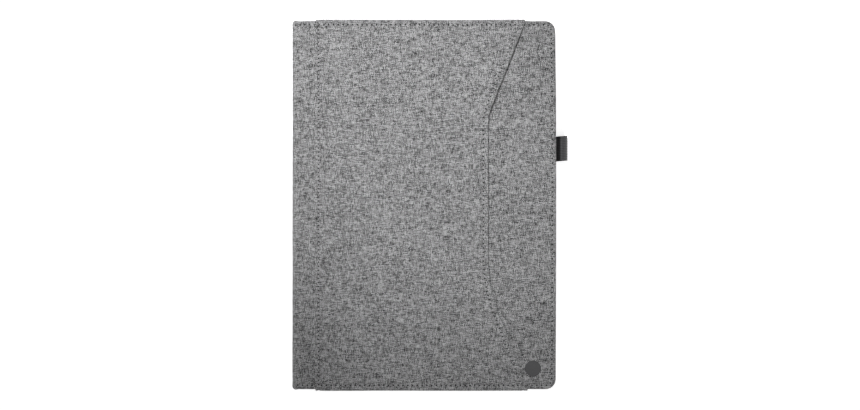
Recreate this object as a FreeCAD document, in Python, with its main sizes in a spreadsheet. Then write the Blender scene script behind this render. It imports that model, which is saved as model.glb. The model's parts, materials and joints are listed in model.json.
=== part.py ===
"""Folio case for a 10-inch tablet, lying closed on its back cover.

X points to the fore-edge (the side that opens), Y to the head of the case and Z up, away from
the surface that the case lies on.  The origin is the middle of the resting face.  Units: mm.
"""
import FreeCAD, Part
import math
import os
import Sketcher

doc = FreeCAD.newDocument("tablet_folio")
dims = doc.addObject("Spreadsheet::Sheet", "dims")

DRIVING_DIMENSIONS = {
    # folio
    "case_width": 184.7,        # spine to fore-edge
    "case_height": 257.9,       # head to foot
    "case_depth": 16.1,         # back cover's outer face to front cover's outer face
    "fore_radius": 7.0,         # corners at the fore-edge, seen from the front
    "spine_end_radius": 3.5,    # corners at the two ends of the spine
    "fold_radius": 4.5,         # outside radius of the two long folds
    "fold_split": 1.5,          # degrees left free each side of a fold line
    "fabric": 0.8,
    "board": 1.4,
    "lining": 0.6,
    "board_setback": 1.6,       # cover boards stop this far short of the folds
    "spine_board_end": 2.5,
    # seams
    "seam_inset": 2.8,
    "thread": 0.5,
    "thread_sunk": 0.25,
    "thread_lift": 0.05,        # the back seam's thread lies this far inside the resting face
    # front pocket
    "panel_left": 76.3,
    "panel_half_height": 130.0,
    "panel_corner": 2.5,
    "panel_flange_drop": 3.6,
    "panel_lift": 0.4,
    "pocket_lining": 0.35,
    "pocket_lining_gap": 0.05,
    "mouth_middle": 45.1,
    "mouth_head": 72.0,
    "mouth_foot": 73.5,
    "knee_head": 63.0,
    "knee_foot": 57.0,
    "knee_head_radius": 25.0,
    "knee_foot_radius": 110.0,
    "side_seam": 73.8,
    "hem": 3.5,
    "row_end": 125.3,
    # tray that grips the tablet
    "tablet_width": 174.1,
    "tablet_length": 250.6,
    "tablet_thick": 7.5,
    "tablet_play": 0.3,
    "tablet_corner": 10.0,
    "tray_wall": 1.5,
    "tray_floor": 1.2,
    "plate_fit": 0.05,          # clearance round the plate inside the bumper
    "tray_setback": 1.9,
    "tray_round": 0.9,
    "lip": 1.0,
    "bond": 0.2,
    "bond_inset": 5.0,
    "port_width": 18.0,
    "power_width": 22.0,
    "power_x": 66.0,
    "volume_length": 30.0,
    "volume_y": 88.0,
    "camera_x": 74.0,
    "camera_y": 109.5,
    "camera_radius": 7.5,
    "camera_ring": 0.9,
    "ring_lift": 0.3,
    # magnets sealed in the front board
    "magnet_length": 20.0,
    "magnet_width": 5.0,
    "magnet_thick": 1.2,
    "magnet_x": 83.0,
    "magnet_near": 40.0,
    "magnet_far": 95.0,
    # pen loop
    "loop_width": 17.8,
    "loop_y": 39.4,
    "loop_radius": 4.1,
    "loop_band": 0.9,
    "loop_x": 4.5,              # bore axis beyond the fore-edge
    "loop_z": 4.35,
    "loop_root": 0.5,
    "loop_hinge_x": 0.65,       # swing axis beyond the fore-edge
    "loop_hinge_z": 1.6,
    "tab_length": 14.0,
    "tab_thick": 1.2,
    "tab_z": 1.0,
    # plain round label near the foot of the fore-edge
    "label_x": 76.3,
    "label_y": 114.3,
    "label_radius": 5.6,
    "label_thick": 0.25,
}

for row, (alias, number) in enumerate(DRIVING_DIMENSIONS.items(), 1):
    dims.set(f"A{row}", alias)
    dims.set(f"B{row}", str(number))
    dims.setAlias(f"B{row}", alias)
doc.recompute()

# ---- expressions that several pieces share -------------------------------------------------
HALF_W = "dims.case_width/2"
HALF_H = "dims.case_height/2"
STACK = "(dims.fabric + dims.board + dims.lining)"
FOLD_X = "(dims.fold_radius - dims.case_width/2)"
UPPER_FOLD_Z = "(dims.case_depth - dims.fold_radius)"
FRONT_INNER_Z = f"(dims.case_depth - {STACK})"
PANEL_Z = "(dims.case_depth + dims.panel_lift)"
PANEL_TOP_Z = f"({PANEL_Z} + dims.fabric)"
TRAY_Z = f"({STACK} + dims.bond)"
BAY_Z = f"({TRAY_Z} + dims.tray_floor)"
LIP_Z = f"({BAY_Z} + dims.tablet_thick + 0.2)"
TRAY_TOP_Z = f"({LIP_Z} + dims.lip)"
TRAY_RIGHT = f"({HALF_W} - dims.tray_setback)"
BAY_RIGHT = f"({TRAY_RIGHT} - dims.tray_wall)"
BAY_LEFT = f"({BAY_RIGHT} - dims.tablet_width - 2*dims.tablet_play)"
TRAY_LEFT = f"({BAY_LEFT} - dims.tray_wall)"
BAY_HALF_H = "(dims.tablet_length/2 + dims.tablet_play)"
TRAY_HALF_H = f"({BAY_HALF_H} + dims.tray_wall)"
HOLE_RADIUS = "(dims.camera_radius + dims.camera_ring)"

sub_parts = []


def value(expression):
    """The number that an expression of the sheet gives now."""
    return float(dims.evalExpression(str(expression)))


def keep(thing, node):
    """Names a finished object after its node."""
    thing.Label = node
    sub_parts.append(thing)
    return thing


# ---- sketches ------------------------------------------------------------------------------
def sketch_on(body, name, plane="XY_Plane", height="0"):
    """A sketch on one of the body's own origin planes, lifted along its normal."""
    sketch = body.newObject("Sketcher::SketchObject", name)
    support = next(f for f in body.Origin.OriginFeatures if f.Role == plane)
    sketch.AttachmentSupport = [(support, "")]
    sketch.MapMode = "FlatFace"
    sketch.setExpression("AttachmentOffset.Base.z", height)
    return sketch


def bound(sketch, constraint, expression):
    """Adds a constraint whose datum follows an expression."""
    index = sketch.addConstraint(constraint)
    sketch.setExpression(f"Constraints[{index}]", expression)


def place_point(sketch, geometry, end, across, up):
    """Ties a point of the sketch to a place measured from the origin."""
    origin = (-1, 1)
    bound(sketch, Sketcher.Constraint("DistanceX", *origin, geometry, end, value(across)), across)
    bound(sketch, Sketcher.Constraint("DistanceY", *origin, geometry, end, value(up)), up)


def corner_setback(places, radii, i):
    """Distance from a corner to either end of its arc."""
    if radii[i] is None:
        return 0.0
    before = places[i - 1] - places[i]
    after = places[(i + 1) % len(places)] - places[i]
    return value(radii[i]) / math.tan(before.getAngle(after) / 2)


def rounded_corner(sketch, before, after, corner):
    """Joins two lines with a tangent arc, held by the sharp corner that it replaces."""
    start = sketch.getPoint(before, 2)
    end = sketch.getPoint(after, 1)
    sharp = FreeCAD.Vector(value(corner[0]), value(corner[1]), 0)
    half = (start - sharp).getAngle(end - sharp) / 2
    toward = ((start - sharp) + (end - sharp)).normalize()
    centre = sharp + toward * (value(corner[2]) / math.sin(half))
    middle = centre - toward * value(corner[2])
    arc = sketch.addGeometry(Part.Arc(start, middle, end), False)
    begins = 1 if sketch.getPoint(arc, 1).isEqual(start, 1e-6) else 2
    sketch.addConstraint(Sketcher.Constraint("Tangent", before, 2, arc, begins))
    sketch.addConstraint(Sketcher.Constraint("Tangent", arc, 3 - begins, after, 1))
    bound(sketch, Sketcher.Constraint("Radius", arc, value(corner[2])), corner[2])
    point = sketch.addGeometry(Part.Point(sharp), True)
    sketch.addConstraint(Sketcher.Constraint("PointOnObject", point, 1, before))
    sketch.addConstraint(Sketcher.Constraint("PointOnObject", point, 1, after))
    place_point(sketch, point, 1, corner[0], corner[1])


def outline(sketch, corners):
    """A closed outline of straight runs.  A corner is (x, y) or (x, y, radius), as expressions."""
    places = [FreeCAD.Vector(value(c[0]), value(c[1]), 0) for c in corners]
    radii = [c[2] if len(c) > 2 else None for c in corners]
    lines = []
    for i, start in enumerate(places):
        following = (i + 1) % len(places)
        along = (places[following] - start).normalize()
        first = start + along * corner_setback(places, radii, i)
        last = places[following] - along * corner_setback(places, radii, following)
        lines.append(sketch.addGeometry(Part.LineSegment(first, last), False))
    for i, corner in enumerate(corners):
        before, after = lines[i - 1], lines[i]
        if radii[i] is None:
            sketch.addConstraint(Sketcher.Constraint("Coincident", before, 2, after, 1))
            place_point(sketch, after, 1, corner[0], corner[1])
        else:
            rounded_corner(sketch, before, after, corner)


def rectangle(left, right, bottom, top, left_radius=None, right_radius=None):
    """Corners of an upright rectangle, for outline()."""
    ring = [(left, bottom, left_radius), (right, bottom, right_radius),
            (right, top, right_radius), (left, top, left_radius)]
    return [c[:2] if c[2] is None else c for c in ring]


def circle(sketch, across, up, radius):
    centre = FreeCAD.Vector(value(across), value(up), 0)
    round_edge = sketch.addGeometry(Part.Circle(centre, FreeCAD.Vector(0, 0, 1), value(radius)), False)
    bound(sketch, Sketcher.Constraint("Radius", round_edge, value(radius)), radius)
    place_point(sketch, round_edge, 3, across, up)


def arc_band(sketch, across, up, outer, inner, start, end):
    """A curved strip between two radii and two angles (in degrees)."""
    centre = FreeCAD.Vector(value(across), value(up), 0)
    angles = [math.radians(value(start)), math.radians(value(end))]
    arcs = []
    for radius in (outer, inner):
        full = Part.Circle(centre, FreeCAD.Vector(0, 0, 1), value(radius))
        arc = sketch.addGeometry(Part.ArcOfCircle(full, *angles), False)
        bound(sketch, Sketcher.Constraint("Radius", arc, value(radius)), radius)
        arcs.append(arc)
    sketch.addConstraint(Sketcher.Constraint("Coincident", arcs[0], 3, arcs[1], 3))
    place_point(sketch, arcs[0], 3, across, up)
    for end_of_arc, expression in ((1, start), (2, end)):
        near = sketch.getPoint(arcs[1], end_of_arc)
        far = sketch.getPoint(arcs[0], end_of_arc)
        radial = sketch.addGeometry(Part.LineSegment(near, far), False)
        sketch.addConstraint(Sketcher.Constraint("Coincident", radial, 1, arcs[1], end_of_arc))
        sketch.addConstraint(Sketcher.Constraint("Coincident", radial, 2, arcs[0], end_of_arc))
        sketch.addConstraint(Sketcher.Constraint("PointOnObject", arcs[0], 3, radial))
        angle = Sketcher.Constraint("Angle", radial, math.radians(value(expression)))
        bound(sketch, angle, f"({expression}) * 1 deg")


# ---- features ------------------------------------------------------------------------------
def pad(body, sketch, length, both_ways=False):
    """Adds material above a sketch, or half of it each side."""
    doc.recompute()
    feature = body.newObject("PartDesign::Pad", sketch.Name + "Pad")
    feature.Profile = sketch
    feature.setExpression("Length", length)
    if both_ways:
        feature.SideType = "Symmetric"
    sketch.Visibility = False
    doc.recompute()
    return feature


def pocket(body, sketch, depth, both_ways=False):
    """Takes material away above a sketch and proves that it did."""
    doc.recompute()
    before = body.Shape.Volume
    feature = body.newObject("PartDesign::Pocket", sketch.Name + "Pocket")
    feature.Profile = sketch
    feature.setExpression("Length", depth)
    if both_ways:
        feature.SideType = "Symmetric"
    else:
        feature.Reversed = True
    doc.recompute()
    if not body.Shape.Volume < before - 1e-3:
        raise RuntimeError(f"{feature.Name} cut nothing")
    return feature


def new_body(name):
    return doc.addObject("PartDesign::Body", name)


def slab(name, corners, height, thickness):
    """A body that starts as a flat sheet of the given outline."""
    body = new_body(name)
    sketch = sketch_on(body, name + "Outline", height=height)
    outline(sketch, corners)
    pad(body, sketch, thickness)
    return body


def camera_hole(body, name, height, depth, radius=HOLE_RADIUS):
    """A round hole behind the tablet's camera."""
    sketch = sketch_on(body, name + "Camera", height=height)
    circle(sketch, "dims.camera_x", "dims.camera_y", radius)
    pocket(body, sketch, depth)


def box(name, left, right, bottom, top, low, high):
    """A plain box between six expressions."""
    solid = doc.addObject("Part::Box", name)
    solid.setExpression("Length", f"({right}) - ({left})")
    solid.setExpression("Width", f"({top}) - ({bottom})")
    solid.setExpression("Height", f"({high}) - ({low})")
    solid.setExpression("Placement.Base.x", left)
    solid.setExpression("Placement.Base.y", bottom)
    solid.setExpression("Placement.Base.z", low)
    return solid


def cylinder(name, radius, height, across, along, low):
    solid = doc.addObject("Part::Cylinder", name)
    solid.setExpression("Radius", radius)
    solid.setExpression("Height", height)
    solid.setExpression("Placement.Base.x", across)
    solid.setExpression("Placement.Base.y", along)
    solid.setExpression("Placement.Base.z", low)
    return solid


def group(name, members):
    """Several separate solids that make one node."""
    joined = doc.addObject("Part::Compound", name)
    joined.Links = members
    return joined


# ---- covers --------------------------------------------------------------------------------
def cover_outline(inset, left=FOLD_X):
    """Outline of a cover, drawn in by an inset on its three free sides."""
    return rectangle(left, f"{HALF_W} - {inset}", f"-({HALF_H} - {inset})", f"{HALF_H} - {inset}",
                     right_radius=f"dims.fore_radius - {inset}")


def fold_strip(body, name, fold_z, outer, inner, start, end, length):
    """The curved strip of cloth round one of the long folds."""
    sketch = sketch_on(body, name + "Fold", plane="XZ_Plane")
    arc_band(sketch, FOLD_X, fold_z, outer, inner, start, end)
    pad(body, sketch, length, both_ways=True)


def spine_end_relief(body, name):
    """Rounds the spine's two ends, seen from the front, through the whole depth."""
    sketch = sketch_on(body, name + "Relief", height="-1")
    sharp_x = "-dims.case_width/2"
    outside = f"{sharp_x} - 1"
    radius = "dims.spine_end_radius"
    for sign in ("", "-"):
        end = f"{sign}({HALF_H})"
        beyond = f"{sign}({HALF_H} + 1)"
        below = f"{sign}({HALF_H} - {radius})"
        diagonal_x = f"{sharp_x} + 0.293*{radius}"
        diagonal_y = f"{sign}({HALF_H} - 0.293*{radius})"
        outline(sketch, [(outside, below), (sharp_x, below), (diagonal_x, diagonal_y),
                         (f"{sharp_x} + {radius}", end), (f"{sharp_x} + {radius}", beyond),
                         (outside, beyond)])
    pocket(body, sketch, "dims.case_depth + 2")


def seam_band(sketch):
    """Narrow band along a cover's three free sides, where the perimeter seam runs."""
    outer = cover_outline("(dims.seam_inset - dims.thread/2)")
    inner = cover_outline("(dims.seam_inset + dims.thread/2)")
    outline(sketch, outer + inner[::-1])


def outer_fabric(name, node, low, recess_low, groove_low, fold_z, fold_angles):
    """A cover's outer cloth: a flat face, edges turned in round the board, half of the fold."""
    body = slab(name, cover_outline("0"), low, STACK)
    recess = sketch_on(body, name + "Recess", height=recess_low)
    outline(recess, cover_outline("dims.fabric", f"{FOLD_X} - 1"))
    pocket(body, recess, f"{STACK} - dims.fabric")
    fold_strip(body, name, fold_z, "dims.fold_radius", "(dims.fold_radius - dims.fabric)",
               *fold_angles, "dims.case_height")
    spine_end_relief(body, name)
    groove = sketch_on(body, name + "Groove", height=groove_low)
    seam_band(groove)
    pocket(body, groove, "dims.thread_sunk")
    return keep(body, node)


def inner_lining(name, node, low, fold_z, fold_angles):
    """A cover's lining: a flat sheet inside the turned edges, and half of the fold."""
    body = slab(name, cover_outline("dims.fabric"), low, "dims.lining")
    outer = "(dims.fold_radius - dims.fabric - dims.board)"
    fold_strip(body, name, fold_z, outer, f"({outer} - dims.lining)", *fold_angles,
               "dims.case_height - 2*dims.fabric")
    return keep(body, node)


MAGNET_PLACES = ("-dims.magnet_far", "-dims.magnet_near", "dims.magnet_near", "dims.magnet_far")
BACK_FOLD = ("225 + dims.fold_split", "270")
FRONT_FOLD = ("90", "135 - dims.fold_split")


def back_cover():
    fabric = outer_fabric("BackFabric", "back_outer_fabric", "0", "dims.fabric", "0",
                          "dims.fold_radius", BACK_FOLD)
    camera_hole(fabric, "BackFabric", "-1", "dims.case_depth")
    slot = sketch_on(fabric, "BackFabricTabSlot", height="dims.tab_z")
    outline(slot, rectangle(f"{HALF_W} - 1.2", f"{HALF_W} + 1",
                            "dims.loop_y - dims.loop_width/2", "dims.loop_y + dims.loop_width/2"))
    pocket(fabric, slot, "dims.tab_thick")

    board = slab("BackBoard", cover_outline("dims.fabric", f"{FOLD_X} + dims.board_setback"),
                 "dims.fabric", "dims.board")
    camera_hole(board, "BackBoard", "0", "4")
    notch = sketch_on(board, "BackBoardTabNotch", height="dims.tab_z")
    outline(notch, rectangle(f"{HALF_W} - dims.tab_length", f"{HALF_W} + 1",
                             "dims.loop_y - dims.loop_width/2", "dims.loop_y + dims.loop_width/2"))
    pocket(board, notch, "dims.tab_thick + 0.2")
    keep(board, "back_board")

    lining = inner_lining("BackLining", "back_lining", "dims.fabric + dims.board",
                          "dims.fold_radius", BACK_FOLD)
    camera_hole(lining, "BackLining", "0", "4")


def front_cover():
    outer_fabric("FrontFabric", "front_outer_fabric", FRONT_INNER_Z, FRONT_INNER_Z,
                 "dims.case_depth - dims.thread_sunk", UPPER_FOLD_Z, FRONT_FOLD)

    board_z = f"{FRONT_INNER_Z} + dims.lining"
    board = slab("FrontBoard", cover_outline("dims.fabric", f"{FOLD_X} + dims.board_setback"),
                 board_z, "dims.board")
    nests = sketch_on(board, "FrontBoardNests", height=board_z)
    for along in MAGNET_PLACES:
        outline(nests, rectangle("dims.magnet_x - dims.magnet_width/2",
                                 "dims.magnet_x + dims.magnet_width/2",
                                 f"{along} - dims.magnet_length/2",
                                 f"{along} + dims.magnet_length/2"))
    pocket(board, nests, "dims.magnet_thick")
    keep(board, "front_board")

    bars = [box(f"Magnet{i}", "dims.magnet_x - dims.magnet_width/2",
                "dims.magnet_x + dims.magnet_width/2", f"{along} - dims.magnet_length/2",
                f"{along} + dims.magnet_length/2", board_z, f"{board_z} + dims.magnet_thick")
            for i, along in enumerate(MAGNET_PLACES)]
    keep(group("CoverMagnets", bars), "cover_magnets")

    inner_lining("FrontLining", "front_lining", FRONT_INNER_Z, UPPER_FOLD_Z, FRONT_FOLD)
    label = cylinder("Label", "dims.label_radius", "dims.label_thick", "dims.label_x",
                     "-dims.label_y", "dims.case_depth")
    keep(label, "blank_label")


# ---- spine ---------------------------------------------------------------------------------
def spine_shell(name, inset, thickness, length):
    """A flat wall with the spine's half of each fold."""
    body = new_body(name)
    wall = sketch_on(body, name + "Wall", plane="XZ_Plane")
    left = f"{inset} - {HALF_W}"
    outline(wall, rectangle(left, f"{left} + {thickness}", "dims.fold_radius", UPPER_FOLD_Z))
    pad(body, wall, length, both_ways=True)
    outer = f"(dims.fold_radius - {inset})"
    fold_strip(body, name + "Back", "dims.fold_radius", outer, f"({outer} - {thickness})",
               "180", "225 - dims.fold_split", length)
    fold_strip(body, name + "Front", UPPER_FOLD_Z, outer, f"({outer} - {thickness})",
               "135 + dims.fold_split", "180", length)
    return body


def spine():
    fabric = spine_shell("SpineFabric", "0", "dims.fabric", "dims.case_height")
    spine_end_relief(fabric, "SpineFabric")
    groove = sketch_on(fabric, "SpineFabricGroove", height="dims.fold_radius")
    for sign in ("", "-"):
        outline(groove, rectangle(f"-{HALF_W} - 1", f"dims.thread_sunk - {HALF_W}",
                                  *seam_row_edges(sign)))
    pocket(fabric, groove, f"{UPPER_FOLD_Z} - dims.fold_radius")
    keep(fabric, "spine_outer_fabric")

    end = f"({HALF_H} - dims.spine_board_end)"
    board = box("SpineBoard", f"dims.fabric - {HALF_W}", f"dims.fabric + dims.board - {HALF_W}",
                f"-{end}", end, "dims.fold_radius", UPPER_FOLD_Z)
    keep(board, "spine_board")

    lining = spine_shell("SpineLining", "(dims.fabric + dims.board)", "dims.lining",
                         "dims.case_height - 2*dims.fabric")
    keep(lining, "spine_lining")

    rows = [box(f"SpineRow{i}", f"-{HALF_W}", f"dims.thread_sunk - {HALF_W}",
                *seam_row_edges(sign), "dims.fold_radius", UPPER_FOLD_Z)
            for i, sign in enumerate(("", "-"))]
    keep(group("SpineSeamThread", rows), "spine_seam_thread")


def seam_row_edges(sign):
    """Lower and upper Y of the perimeter seam's row at the head (sign "") or the foot ("-")."""
    row = f"{sign}({HALF_H} - dims.seam_inset)"
    return f"{row} - dims.thread/2", f"{row} + dims.thread/2"


# ---- seams of the covers -------------------------------------------------------------------
def perimeter_thread(name, low, thickness):
    """One run of thread round a cover's free sides, lying in its groove."""
    body = new_body(name)
    run = sketch_on(body, name + "Run", height=low)
    seam_band(run)
    pad(body, run, thickness)
    return body


def cover_seams():
    back = perimeter_thread("BackThread", "dims.thread_lift",
                            "dims.thread_sunk - dims.thread_lift")
    keep(back, "back_seam_thread")
    front = perimeter_thread("FrontThread", "dims.case_depth - dims.thread_sunk",
                             "dims.thread_sunk")
    rows = [box(f"PanelRow{i}", "-dims.side_seam + 1", "dims.mouth_head - 7",
                *seam_row_edges(sign), f"{PANEL_TOP_Z} - dims.thread_sunk", PANEL_TOP_Z)
            for i, sign in enumerate(("", "-"))]
    keep(group("FrontSeamThread", [front] + rows), "front_seam_thread")


# ---- front pocket --------------------------------------------------------------------------
def mouth(shift, head, foot):
    """The pocket's open edge, from the head down, moved towards the spine by a shift."""
    slope = "((dims.mouth_head - dims.mouth_middle)/(dims.panel_half_height - dims.knee_head))"
    lower = "((dims.mouth_foot - dims.mouth_middle)/(dims.panel_half_height - dims.knee_foot))"
    return [
        (f"dims.mouth_middle - {shift} + ({head} - dims.knee_head)*{slope}", head),
        (f"dims.mouth_middle - {shift}", "dims.knee_head", f"dims.knee_head_radius + {shift}"),
        (f"dims.mouth_middle - {shift}", "-dims.knee_foot", f"dims.knee_foot_radius + {shift}"),
        (f"dims.mouth_middle - {shift} + ({foot} - dims.knee_foot)*{lower}", f"-({foot})"),
    ]


def panel_outline(shift, half_height):
    """Panel seen from the front: straight sewn side, open mouth drawn in by a shift."""
    right = mouth(shift, half_height, half_height)
    left = f"-dims.panel_left + {shift}"
    return [(left, f"-({half_height})", "dims.panel_corner")] + right[::-1] + \
           [(left, half_height, "dims.panel_corner")]


def hem_band(sketch):
    """Narrow band that follows the mouth, a hem's width inside it."""
    ends = "dims.row_end"
    outer = mouth("(dims.hem - dims.thread/2)", ends, ends)
    inner = mouth("(dims.hem + dims.thread/2)", ends, ends)
    outline(sketch, inner + outer[::-1])


def side_row(sketch):
    outline(sketch, rectangle("-dims.side_seam - dims.thread/2", "-dims.side_seam + dims.thread/2",
                              "-dims.row_end", "dims.row_end"))


def front_pocket():
    panel = slab("PocketPanel", panel_outline("0", "dims.panel_half_height"),
                 PANEL_Z, "dims.fabric")
    for sign, name in (("", "PanelHeadTurn"), ("-", "PanelFootTurn")):
        turned = sketch_on(panel, name, height=f"{PANEL_TOP_Z} - dims.panel_flange_drop")
        near, far = f"{sign}({HALF_H})", f"{sign}(dims.panel_half_height)"
        outline(turned, rectangle("-dims.panel_left + dims.panel_corner", "dims.mouth_head - 1",
                                  near, far))
        pad(panel, turned, "dims.panel_flange_drop")
    grooves = sketch_on(panel, "PanelGrooves", height=f"{PANEL_TOP_Z} - dims.thread_sunk")
    hem_band(grooves)
    side_row(grooves)
    for sign in ("", "-"):
        outline(grooves, rectangle("-dims.side_seam + 1", "dims.mouth_head - 7",
                                   *seam_row_edges(sign)))
    pocket(panel, grooves, "dims.thread_sunk")
    keep(panel, "pocket_panel")

    lining = slab("PocketLining", panel_outline("1", f"{HALF_H}"),
                  "dims.case_depth + dims.pocket_lining_gap", "dims.pocket_lining")
    keep(lining, "pocket_lining")

    for name, node, draw in (("SideThread", "pocket_side_thread", side_row),
                             ("HemThread", "pocket_hem_thread", hem_band)):
        thread = new_body(name)
        sketch = sketch_on(thread, name + "Path", height=f"{PANEL_TOP_Z} - dims.thread_sunk")
        draw(sketch)
        pad(thread, sketch, "dims.thread_sunk")
        keep(thread, node)


# ---- tray ----------------------------------------------------------------------------------
def tray_outline(inset):
    radius = f"dims.tablet_corner + dims.tray_wall - {inset}"
    return rectangle(f"{TRAY_LEFT} + {inset}", f"{TRAY_RIGHT} - {inset}",
                     f"-({TRAY_HALF_H} - {inset})", f"{TRAY_HALF_H} - {inset}", radius, radius)


def edges_at(shape, height):
    """Names of the edges that lie flat at one height."""
    return [f"Edge{i}" for i, edge in enumerate(shape.Edges, 1)
            if abs(edge.BoundBox.ZMin - height) < 1e-4 and abs(edge.BoundBox.ZMax - height) < 1e-4]


def tray():
    """Stiff plate, and the bumper strips round it whose lips hold the tablet down.

    The cut-outs at the foot, head and fore-edge run right through the bumper's wall.
    """
    bumper = slab("Bumper", tray_outline("0"), TRAY_Z, f"{TRAY_TOP_Z} - {TRAY_Z}")
    blank = bumper.Tip
    softened = bumper.newObject("PartDesign::Fillet", "BumperRound")
    softened.Base = (blank, edges_at(blank.Shape, value(TRAY_Z)))
    softened.setExpression("Radius", "dims.tray_round")
    doc.recompute()

    bay = sketch_on(bumper, "BumperBay", height=TRAY_Z)
    outline(bay, tray_outline("dims.tray_wall"))
    pocket(bumper, bay, f"{LIP_Z} - {TRAY_Z}")
    window = sketch_on(bumper, "BumperWindow", height=LIP_Z)
    outline(window, tray_outline("(dims.tray_wall + dims.lip)"))
    pocket(bumper, window, f"{TRAY_TOP_Z} - {LIP_Z}")

    notches = sketch_on(bumper, "BumperNotches", height=TRAY_Z)
    reach = "2*(dims.tray_wall + dims.lip)"
    outline(notches, rectangle("-dims.port_width/2", "dims.port_width/2",
                               f"-{TRAY_HALF_H} - 1", f"-{TRAY_HALF_H} + {reach}"))
    outline(notches, rectangle("dims.power_x - dims.power_width/2",
                               "dims.power_x + dims.power_width/2",
                               f"{TRAY_HALF_H} - {reach}", f"{TRAY_HALF_H} + 1"))
    outline(notches, rectangle(f"{TRAY_RIGHT} - {reach}", f"{TRAY_RIGHT} + 1",
                               "dims.volume_y - dims.volume_length/2",
                               "dims.volume_y + dims.volume_length/2"))
    pocket(bumper, notches, f"{TRAY_TOP_Z} - {TRAY_Z}")
    keep(bumper, "tray_bumper")

    plate = slab("Plate", tray_outline("(dims.tray_wall + dims.plate_fit)"), TRAY_Z,
                 "dims.tray_floor")
    camera_hole(plate, "Plate", "0", f"{BAY_Z} + 1", "dims.camera_radius")
    keep(plate, "tray_plate")

    bond = slab("Bond", tray_outline("dims.bond_inset"), STACK, "dims.bond")
    camera_hole(bond, "Bond", "0", "5")
    keep(bond, "tray_bond_sheet")


def camera_ring():
    outside = cylinder("RingOutside", HOLE_RADIUS, f"{STACK} - dims.ring_lift", "dims.camera_x",
                       "dims.camera_y", "dims.ring_lift")
    inside = cylinder("RingInside", "dims.camera_radius", f"{STACK} + 2", "dims.camera_x",
                      "dims.camera_y", "-1")
    ring = doc.addObject("Part::Cut", "CameraRing")
    ring.Base, ring.Tool = outside, inside
    keep(ring, "camera_ring")


# ---- pen loop ------------------------------------------------------------------------------
def pen_loop():
    """Flattened ring of elastic whose root turns on the line where it leaves the back cover."""
    low, high = "dims.loop_y - dims.loop_width/2", "dims.loop_y + dims.loop_width/2"
    tab = box("LoopTab", f"{HALF_W} - dims.tab_length", HALF_W, low, high,
              "dims.tab_z", "dims.tab_z + dims.tab_thick")
    keep(tab, "pen_loop_tab")

    loop = new_body("PenLoop")
    centre_x, centre_z = f"{HALF_W} + dims.loop_x", "dims.loop_z"
    hinge_x, hinge_z = f"{HALF_W} + dims.loop_hinge_x", "dims.loop_hinge_z"
    outside = sketch_on(loop, "LoopOutside", plane="XZ_Plane")
    circle(outside, centre_x, centre_z, "dims.loop_radius")
    pad(loop, outside, "dims.loop_width", both_ways=True)
    root = sketch_on(loop, "LoopRoot", plane="XZ_Plane")
    circle(root, hinge_x, hinge_z, "dims.loop_root")
    pad(loop, root, "dims.loop_width", both_ways=True)
    neck = sketch_on(loop, "LoopNeck", plane="XZ_Plane")
    outline(neck, [(hinge_x, f"{hinge_z} + 0.8*dims.loop_root"),
                   (hinge_x, f"{hinge_z} - 0.8*dims.loop_root"),
                   (f"{centre_x} - 0.5*dims.loop_radius", f"{centre_z} - 0.75*dims.loop_radius"),
                   (f"{centre_x} - 0.75*dims.loop_radius", f"{centre_z} - 0.5*dims.loop_radius")])
    pad(loop, neck, "dims.loop_width", both_ways=True)
    bore = sketch_on(loop, "LoopBore", plane="XZ_Plane")
    circle(bore, centre_x, centre_z, "dims.loop_radius - dims.loop_band")
    pocket(loop, bore, "dims.loop_width + 2", both_ways=True)
    loop.setExpression("Placement.Base.y", "dims.loop_y")
    keep(loop, "pen_loop")


# ---- assembly ------------------------------------------------------------------------------
def check_document():
    """Stops if any object failed or any sub-part has no sound solid."""
    for thing in doc.Objects:
        if {"Invalid", "Error"} & set(thing.State):
            raise RuntimeError(f"{thing.Name} failed: {thing.State}")
    for part in sub_parts:
        if part.Shape.isNull() or not part.Shape.isValid() or not part.Shape.Solids:
            raise RuntimeError(f"{part.Label} has no valid solid")


def write_parts():
    os.makedirs("parts", exist_ok=True)
    for part in sub_parts:
        part.Shape.exportStep(f"parts/{part.Label}.step")
        size = part.Shape.BoundBox
        print(f"{part.Label:22s} solids {len(part.Shape.Solids):2d}  volume {part.Shape.Volume:10.1f}  "
              f"x {size.XMin:.2f} {size.XMax:.2f}  y {size.YMin:.2f} {size.YMax:.2f}  "
              f"z {size.ZMin:.2f} {size.ZMax:.2f}")


back_cover()
tray()
camera_ring()
spine()
front_cover()
front_pocket()
cover_seams()
pen_loop()
doc.recompute()
check_document()
write_parts()
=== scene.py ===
"""Looks of the fabric tablet folio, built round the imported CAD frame.  Units: metres."""
import json
import math

import bpy
import numpy as np
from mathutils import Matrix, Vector, noise


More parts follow.
